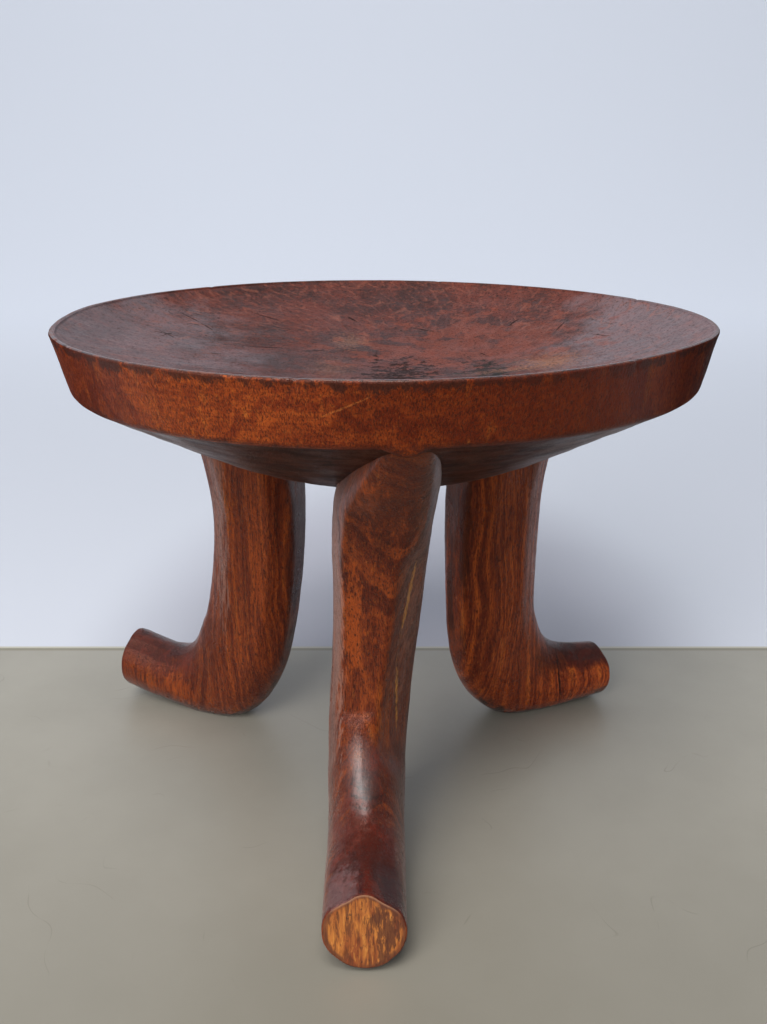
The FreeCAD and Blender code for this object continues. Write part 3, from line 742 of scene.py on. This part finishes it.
def carve_leg(name, node, finish, turn, seed, **form):
    """One leg from its root in the bowl to its toe, with the toe's sawn end as a second finish."""
    skin, middle, along = leg_skin(**form)
    skin = with_toe(shaved(skin, middle, along, seed), middle[-1], seed + 2)
    toe_level = RINGS_ALONG + len(TOE_EASING) - 1
    place = Matrix.Translation(BOWL_AXIS) @ Matrix.Rotation(radians(turn), 4, "Z")
    verts = [tuple(place @ (Vector(point) * MM)) for point in skin.reshape(-1, 3)]
    near_edge = np.clip(1.25 - np.abs(np.arange(len(skin)) - toe_level) / 3, 0, 1)
    faces, slots = [], []
    for level in range(len(skin) - 1):
        for step in range(POINTS_AROUND):
            start = level * POINTS_AROUND + step
            ahead = level * POINTS_AROUND + (step + 1) % POINTS_AROUND
            faces.append((start, ahead, ahead + POINTS_AROUND, start + POINTS_AROUND))
            slots.append(1 if level >= toe_level else 0)
    for level, is_root in ((0, True), (len(skin) - 1, False)):
        verts.append(tuple(place @ (Vector(skin[level].mean(0)) * MM)))
        for step in range(POINTS_AROUND):
            pair = (level * POINTS_AROUND + step, level * POINTS_AROUND + (step + 1) % POINTS_AROUND)
            faces.append((*(pair[::-1] if is_root else pair), len(verts) - 1))
            slots.append(0 if is_root else 1)
    edge_shares = np.append(np.repeat(near_edge, POINTS_AROUND), [0, 0])
    leg = smooth_form(name, verts, faces, slots, {"edge": edge_shares})
    leg.data.materials.append(finish.material)
    leg.data.materials.append(toe_wood.material)
    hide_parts(node)
    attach(leg, "root")


def toe_finish():
    """The toe's end: sawn along the grain, paler and drier, with a bruised reddish border."""
    wood = Finish("toe_end_wood")
    edge = wood.carried("edge")
    lines = wood.mottle(wood.stretched(1.5, 30), 4, 0.65, 0.4)
    bands = wood.mottle(wood.stretched(9, 40), 4, 0.6, 0.6)
    specks = wood.mottle(wood.stretched(1.6, 3.4), 4, 0.65)
    colour = wood.blend(wood.span(bands, 0.36, 0.62), (0.24, 0.052, 0.010, 1), (0.52, 0.175, 0.028, 1))
    colour = wood.blend(wood.span(lines, 0.38, 0.54, 0.75, 0), colour, (0.085, 0.020, 0.006, 1))
    colour = wood.blend(wood.span(lines, 0.56, 0.68, 0, 0.45), colour, (0.66, 0.29, 0.055, 1))
    colour = wood.blend(wood.span(specks, 0.58, 0.68, 0, 0.75), colour, (0.022, 0.008, 0.004, 1))
    bruise = patch(wood, (5, -195, 24), (8, 40, 19), 0.9, 2.4, upright=5)
    colour = wood.stain(colour, bruise, 0.85, (0.080, 0.019, 0.006, 1))
    border = wood.reckon("ADD", edge, wood.span(bands, 0.3, 0.7, -0.25, 0.25))
    colour = wood.blend(wood.span(border, 0.60, 1.05, 0, 0.85), colour, (0.10, 0.024, 0.009, 1))
    crest = wood.reckon("MULTIPLY", wood.span(edge, 0.90, 1.0), wood.span(wood.height, 30 * MM, 38 * MM))
    colour = wood.stain(colour, crest, 0.5, (0.45, 0.24, 0.14, 1))
    wood.give("Base Color", colour)
    wood.give("Roughness", wood.span(bands, 0.3, 0.7, 0.55, 0.75))
    relief = wood.bump(lines, 0.6 * MM, 0.8)
    relief = wood.bump(specks, 0.4 * MM, 0.6, relief)
    wood.give("Normal", relief)
    return wood


# Bright, plain, deep and glowing wood of a leg
LEG_TONES = ((0.32, 0.064, 0.012), (0.20, 0.035, 0.010), (0.080, 0.012, 0.006), (0.44, 0.135, 0.022))


def leg_finish(name, tone, streaks, polish=None, dry_foot=None):
    """Leg: long grain on the shin, dark end grain on top of the foot, a darker sole, and streaks of its own,
    some of them painted shade and painted sheen.
    """
    wood = Finish(name)
    bright, plain, deep, glow = [[tone * share for share in mix] + [1] for mix in LEG_TONES]
    colour, fibres = upright_grain(wood, bright, plain, deep, glow, fibre_length=7, clouding=0.7)
    blotches = wood.mottle(wood.stretched(16, 26), 5, 0.65, 0.6)
    flecks = wood.mottle(wood.stretched(1.8, 3.6), 4, 0.65, 0.4)
    foot_top = wood.blend(wood.span(blotches, 0.38, 0.62), (0.034, 0.010, 0.011, 1), (0.120, 0.022, 0.013, 1))
    foot_top = wood.blend(wood.span(flecks, 0.36, 0.48, 0.6, 0), foot_top, (0.016, 0.007, 0.007, 1))
    sole = wood.blend(wood.span(flecks, 0.40, 0.60), (0.016, 0.008, 0.006, 1), (0.070, 0.022, 0.012, 1))
    facing_up = wood.reckon("ADD", wood.upward, wood.span(blotches, 0.3, 0.7, -0.26, 0.26))
    colour = wood.blend(wood.span(facing_up, 0.22, 0.82), colour, foot_top)
    # Darker where the leg faces down near the floor
    low_down = wood.span(wood.height, 50 * MM, 80 * MM, 1, 0)
    colour = wood.stain(colour, wood.span(facing_up, -0.50, -0.80), low_down, sole)
    for centre, reach, ragged, grain, strength, shade, lean in streaks:
        streak = patch(wood, centre, reach, ragged, grain, upright=9, lean=lean)
        colour = wood.stain(colour, streak, strength, shade)
    open_pores = pores(wood, 0.55, 3.0, 0.56, 0.63)
    colour = wood.stain(colour, open_pores, 0.75, (0.018, 0.006, 0.005, 1))
    waxed(wood, colour, open_pores, fibres, dull=0.40, shiny=0.26, grain_depth=0.2 * MM, veil=0.16)
    if polish:
        rubbed = patch(wood, *polish)
        wood.give("Coat Weight", rubbed)
        wood.give("Specular Tint", wood.blend(rubbed, WARM_GLOSS, (1, 1, 1, 1)))
    if dry_foot:
        dry = patch(wood, *dry_foot)
        wood.give("Specular IOR Level", wood.span(dry, 0, 1, WAX_GLOSS, 0.13))
    return wood


# Streaks and stains of the legs, some of them painted shade and painted sheen: place and reach, raggedness,
# grain, strength, colour and lean
ORANGE = (0.42, 0.080, 0.012, 1)
YELLOW = (0.60, 0.24, 0.030, 1)
RED = (0.105, 0.014, 0.007, 1)
# Painted sheen: a grey purple laid on the left facet of the front foot's top
PAINTED_SHEEN_PURPLE = (0.165, 0.088, 0.088, 1)
PLUM = (0.028, 0.017, 0.019, 1)
BLACK = (0.020, 0.008, 0.007, 1)
# The next colour is dark grime, and is also used as painted shade on the inner sides of the rear legs
GRIME_AND_SHADE = (0.040, 0.010, 0.007, 1)
# Painted sheen: a pale grey laid along the lit edges of the legs
PAINTED_EDGE_SHEEN = (0.34, 0.19, 0.15, 1)
LEFT_STREAKS = (
    # Painted shade on the rear left leg's inner side, towards under the stool
    ((-50, 60, 170), (17, 60, 130), 0.45, 6, 0.8, GRIME_AND_SHADE, 0),
    ((-82, 40, 120), (5, 30, 60), 0.6, 3, 0.3, ORANGE, 0),
    ((-150, 88, 20), (28, 40, 13), 0.5, 3, 0.4, ORANGE, 0),
    # Painted sheen along the rear left leg's outer edge
    ((-108, 45, 175), (6, 50, 95), 0.5, 2, 0.4, PAINTED_EDGE_SHEEN, 0))
FRONT_STREAKS = (
    ((-14, -118, 155), (6, 20, 40), 0.6, 2, 0.5, ORANGE, 0),
    ((-4, -140, 236), (8, 16, 18), 0.6, 3, 0.45, ORANGE, 0),
    ((15.8, -114, 172), (1.0, 14, 26), 0.35, 1.0, 0.9, YELLOW, 0.17),
    ((9.6, -116, 106), (1.1, 14, 27), 0.35, 1.0, 0.9, YELLOW, 0),
    ((-3, -152, 46), (17, 10, 30), 0.6, 4, 0.85, RED, 0),
    ((2, -142, 222), (27, 32, 24), 0.7, 4, 0.4, GRIME_AND_SHADE, 0),
    # Painted sheen on the left facet of the foot's top
    ((-19, -181, 38), (10, 19, 16), 0.35, 2.5, 0.6, PAINTED_SHEEN_PURPLE, 0),
    ((8, -181, 40), (9, 19, 16), 0.35, 2.5, 0.7, PLUM, 0),
    ((-5.4, -180, 46), (3.0, 18, 12), 0.35, 2, 0.8, RED, 0),
    ((-1, -134, 70), (18, 8, 13), 0.5, 4, 0.5, BLACK, 0),
    ((-8, -141, 61), (13, 14, 0.9), 0.5, 2, 0.8, BLACK, 0.05),
    ((-5, -144, 57.5), (12, 14, 0.8), 0.5, 2, 0.7, BLACK, -0.05),
    ((-10, -138, 65), (9, 14, 0.7), 0.5, 2, 0.7, BLACK, 0.1),
    ((-6, -160, 46), (17, 18, 20), 0.6, 4, 0.6, GRIME_AND_SHADE, 0),
    # Painted sheen along the front leg's left and right edges and its right shoulder
    ((29, -140, 240), (2.5, 30, 26), 0.6, 2, 0.5, PAINTED_EDGE_SHEEN, 0),
    ((-23, -110, 165), (4.5, 40, 85), 0.5, 2, 0.5, PAINTED_EDGE_SHEEN, 0),
    ((20.5, -100, 195), (6.5, 36, 90), 0.5, 1.2, 0.28, PAINTED_EDGE_SHEEN, 0.11))
RIGHT_STREAKS = (
    ((131, 64, 24), (0.7, 30, 24), 0.25, 3, 1, BLACK, -0.1),
    ((60, 82, 34), (3, 8, 4), 0.5, 2, 0.9, BLACK, 0),
    ((128, 64, 42), (16, 24, 14), 0.5, 4, 0.45, BLACK, 0),
    # Painted shade along the rear right leg's inner side, which the seat and front leg shade
    ((50, 50, 180), (18, 60, 110), 0.45, 6, 0.8, GRIME_AND_SHADE, 0),
    # Painted sheen along the rear right leg's outer edge
    ((104, 60, 175), (6, 50, 95), 0.5, 2, 0.3, PAINTED_EDGE_SHEEN, 0))
toe_wood = toe_finish()
# Painted light: the rear right leg's wood is about twice as bright as the other legs', to make up for the
# little light that reaches it
left_wood = leg_finish("left_leg_wood", 0.9, LEFT_STREAKS)
front_wood = leg_finish(
    "front_leg_wood", 0.82, FRONT_STREAKS, polish=((-10, -134, 76), (16, 24, 24), 0.12, 5),
    dry_foot=((0, -172, 44), (32, 30, 28), 0.3, 4))
right_wood = leg_finish("right_leg_wood", 1.85, RIGHT_STREAKS)

# Planes left by the knife, round the back of every leg and on the top of the feet
ROUND_BACK = (
    (98, 0.965, 0.8, 4.5), (143, 0.95, 0, 4), (188, 0.955, 0, 4), (232, 0.95, 0, 4), (268, 0.965, 0.8, 4.5))
FRONT_FOOT_TOP = ((33, 0.94, 6.0, 9), (-33, 0.94, 6.0, 9))
REAR_FOOT_TOP = ((33, 0.97, 5.8, 9), (-33, 0.97, 5.8, 9))
REAR_HALF_WIDTHS = (21, 25.4, 23.2, 22.8, 22.7, 21.4, 21, 20.2)
carve_leg(
    "front_leg", "leg_front", front_wood, turn=269.5, seed=21, root_skew=3.5, toe_low=2.4,
    outer_line=((179.5, 272), (146, 222), (130, 171), (122.8, 126), (123.8, 93),
                (142, 60.5), (164, 46.2), (194.3, 42.6)),
    inner_reach=(92, 80, 70, 63.5, 64, 96, 149, 200.3),
    asides=(13.5, 1.6, -2.0, -5.9, -8.7, -8.6, -8.2, -7.8),
    half_widths=(18.5, 26.6, 25.6, 23.9, 23.6, 21.9, 21.9, 21.5),
    planes=(*ROUND_BACK, *FRONT_FOOT_TOP,
            (-16, 0.90, 0.7, 4.0), (44, 0.875, 1.35, 4.6), (-66, 0.93, 0.9, 4.6)))
carve_leg(
    "rear_left_leg", "leg_rear_left", left_wood, turn=154.2, seed=31, root_skew=0, toe_low=6,
    outer_line=((179.5, 272), (142, 222), (128.3, 171), (131, 120), (139.8, 80),
                (154, 51), (173, 44), (204.2, 50)),
    inner_reach=(75, 67.5, 62.8, 66.6, 79.8, 117.5, 166, 207),
    asides=(-3, -2.3, -1.9, -1.7, -1.5, -1.4, 0.8, 3),
    half_widths=REAR_HALF_WIDTHS,
    planes=(*ROUND_BACK, *REAR_FOOT_TOP,
            (12, 0.945, 0.6, 4.2), (56, 0.95, 0.6, 4.4), (-34, 0.955, 0.6, 4.2)))
carve_leg(
    "rear_right_leg", "leg_rear_right", right_wood, turn=29.8, seed=41, root_skew=3, toe_low=2.4,
    outer_line=((179.5, 272), (139.5, 222), (125, 171), (123.5, 120), (124.6, 80),
                (140.6, 50.5), (155.5, 43.8), (177, 42)),
    inner_reach=(70.5, 60, 55, 55.2, 62.8, 104, 147, 176),
    asides=(9, 6.9, 5.9, 5.2, 4.8, 4.4, -2.3, -9),
    half_widths=REAR_HALF_WIDTHS,
    planes=(*ROUND_BACK, *REAR_FOOT_TOP,
            (-8, 0.945, 0.6, 4.2), (38, 0.95, 0.6, 4.4), (-52, 0.95, 0.6, 4.2)))

# Stand: a satin table top, pale grey-beige, that ends just behind the stool, and beyond its paler edge a
# pale matt sheet that runs back level and then curves up into a wall. The stool stands loose on the table.
TABLE_EDGE = 162 * MM
SHEET_BEND, SHEET_ROUND, SHEET_TOP = 2.2, 1.6, 4.5
STAND_REACH = 5.0


def stand_finish():
    """Satin table top, darker towards the camera as painted shade, and beyond its edge a matt sheet with a
    painted shadow of the stool, that glows a little, as a bright wall would.
    """
    stand = Finish("pale_stand")
    dust = stand.mottle(stand.stretched(90, 90), 5, 0.6)
    top = stand.blend(stand.span(dust, 0.3, 0.7), (0.298, 0.282, 0.240, 1), (0.325, 0.308, 0.264, 1))
    # Painted shade: the table top darkens towards the camera
    near = stand.span(stand.depth, -0.5, 0.1, 0.9, 0)
    top = stand.blend(near, top, (0.172, 0.156, 0.120, 1))
    # Hairline scratches here and there, and along the back edge a painted shadow line, then a paler strip
    drawn = stand.mottle(stand.stretched(85, 85), 1, 0.4, 1.2)
    hairs = stand.span(stand.reckon("ABSOLUTE", stand.reckon("SUBTRACT", drawn, 0.5)), 0.0, 0.004, 1, 0)
    scratched = stand.span(stand.mottle(stand.stretched(60, 60), 3, 0.6), 0.54, 0.62, 0, 0.3)
    top = stand.stain(top, hairs, scratched, (0.10, 0.09, 0.07, 1))
    # Painted shadow line just in front of the table's back edge
    shaded = stand.span(stand.depth, TABLE_EDGE - 8 * MM, TABLE_EDGE - 4 * MM, 0, 0.75)
    top = stand.blend(shaded, top, (0.19, 0.175, 0.115, 1))
    rubbed = stand.span(stand.depth, TABLE_EDGE - 2.5 * MM, TABLE_EDGE - 1.5 * MM)
    top = stand.blend(rubbed, top, (0.46, 0.44, 0.36, 1))
    # Painted shadow of the stool on the sheet behind it
    painted_stool_shadow = patch(stand, (20, 250, 0), (270, 420, 900), 0, 60)
    sheet = stand.blend(painted_stool_shadow, (0.54, 0.565, 0.63, 1), (0.40, 0.405, 0.465, 1))
    beyond = stand.span(stand.depth, TABLE_EDGE, TABLE_EDGE + 2 * MM)
    stand.give("Base Color", stand.blend(beyond, top, sheet))
    stand.give("Roughness", stand.span(beyond, 0, 1, 0.38, 0.9))
    stand.give("Emission Color", (0.83, 0.89, 1.0, 1))
    glow = stand.span(stand.depth, 0.2, 2.4, 0.05, 0.38)
    stand.give("Emission Strength", stand.reckon("MULTIPLY", beyond, glow))
    grit = stand.mottle(stand.stretched(1.2, 1.2), 2, 0.5)
    stand.give("Normal", stand.bump(grit, 0.05 * MM, 0.3))
    return stand


profile = [(-STAND_REACH, 0), (TABLE_EDGE, 0), (SHEET_BEND, 0)]
for turn in np.linspace(0, pi / 2, 25)[1:]:
    profile.append((SHEET_BEND + SHEET_ROUND * sin(turn), SHEET_ROUND * (1 - cos(turn))))
profile.append((SHEET_BEND + SHEET_ROUND, SHEET_TOP))
stand_verts = [(side * STAND_REACH, along, tall) for along, tall in profile for side in (-1, 1)]
stand_faces = [(2 * step, 2 * step + 1, 2 * step + 3, 2 * step + 2) for step in range(len(profile) - 1)]
table_and_sheet = smooth_form("table_and_sheet", stand_verts, stand_faces)
table_and_sheet.data.materials.append(stand_finish().material)

# Light: a large soft window at the front left, a softer light from the ceiling and a weak one on the sheet,
# in a room that is pale behind the stool, darker behind the camera, and paler on the left than on the right.
world = bpy.data.worlds.new("pale_room")
bpy.context.scene.world = world
world.use_nodes = True
sky = world.node_tree
room = sky.nodes["Background"]
looking = sky.nodes.new("ShaderNodeTexCoord")
toward = sky.nodes.new("ShaderNodeSeparateXYZ")
sky.links.new(looking.outputs["Generated"], toward.inputs[0])


def room_change(axis, start, end, at_start, at_end):
    """An easy change of the room's brightness along one axis."""
    change = sky.nodes.new("ShaderNodeMapRange")
    change.interpolation_type = "SMOOTHSTEP"
    sky.links.new(toward.outputs[axis], change.inputs["Value"])
    change.inputs["From Min"].default_value = start
    change.inputs["From Max"].default_value = end
    change.inputs["To Min"].default_value = at_start
    change.inputs["To Max"].default_value = at_end
    return change.outputs["Result"]


brightness = sky.nodes.new("ShaderNodeMath")
brightness.operation = "MULTIPLY"
sky.links.new(room_change("Y", -0.7, 0.5, 0.15, 0.52), brightness.inputs[0])
sky.links.new(room_change("X", -0.8, 0.8, 1.25, 0.80), brightness.inputs[1])
sky.links.new(brightness.outputs[0], room.inputs["Strength"])
room.inputs["Color"].default_value = (0.84, 0.91, 1.0, 1)


def soft_light(name, place, target, wide, tall, power, colour):
    """A soft rectangle of light that faces its target; sizes in metres, power in watts."""
    lamp = bpy.data.lights.new(name, "AREA")
    lamp.shape = "RECTANGLE"
    lamp.size = wide
    lamp.size_y = tall
    lamp.energy = power
    lamp.color = colour
    light = bpy.data.objects.new(name, lamp)
    light.location = place
    light.rotation_mode = "QUATERNION"
    light.rotation_quaternion = (Vector(target) - Vector(place)).to_track_quat("-Z", "Y")
    bpy.context.scene.collection.objects.link(light)


soft_light("window", (-1.15, -2.1, 1.65), (0, 0, 0.15), 1.5, 2.5, 78, (1.0, 0.975, 0.95))
soft_light("ceiling", (-0.15, -0.95, 2.3), (0, 0, 0.15), 1.1, 1.1, 30, (1.0, 0.98, 0.95))
soft_light("behind", (-0.7, 1.6, 3.0), (-0.1, 1.4, 0.0), 2.2, 2.2, 10, (1.0, 0.99, 0.97))

# Camera: in front of the stool and a little above its rim, tilted down to it. Its place and tilt were worked
# out from the oval of the rim and the three soles in the photo, in whose pixels the focal length is given.
FOCAL_PIXELS, PHOTO_TALL, SENSOR = 1000, 1024, 36
CAMERA_PLACE = Vector((2.4, -591.9, 382.47)) * MM
TILT_DOWN = 19.2076
camera_data = bpy.data.cameras.new("camera")
camera_data.lens = SENSOR * FOCAL_PIXELS / PHOTO_TALL
camera = bpy.data.objects.new("camera", camera_data)
camera.location = CAMERA_PLACE
camera.rotation_euler = (radians(90 - TILT_DOWN), 0, 0)
bpy.context.scene.collection.objects.link(camera)
bpy.context.scene.camera = camera
bpy.context.scene.view_settings.view_transform = "Standard"
